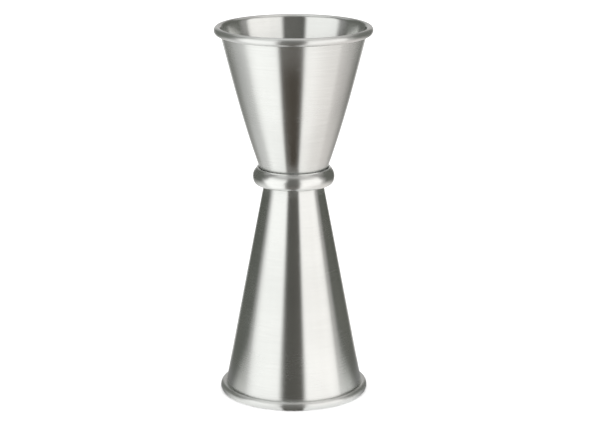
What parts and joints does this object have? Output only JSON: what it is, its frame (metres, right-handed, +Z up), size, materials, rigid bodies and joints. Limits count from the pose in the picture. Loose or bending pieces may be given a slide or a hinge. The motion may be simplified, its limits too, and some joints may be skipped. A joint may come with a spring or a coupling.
{
  "type": "bar jigger",
  "caption": "Double-ended spirit measure: a short flared cup over a taller inverted cone, joined floor to floor in a rounded waist collar, both with rolled rims.",
  "frame": {"origin": "centre of the circle that the lower rim stands on", "axes": "+Z up along the axis of both cups, from the tall cup's mouth to the short cup's mouth; X and Y are free, because every piece is turned about Z"},
  "size_m": [0.047, 0.047, 0.112],
  "materials": {
    "brushed_stainless": "fine satin, brushed round the axis",
    "polished_stainless": "polished, with faint turning lines",
    "silver_solder": "dull, as solidified"
  },
  "bodies": {
    "root": {"upper_cup": "brushed_stainless", "lower_cup": "brushed_stainless", "waist_collar": "polished_stainless", "floor_braze_disc": "silver_solder", "collar_solder_ring": "silver_solder"}
  },
  "joints": []
}
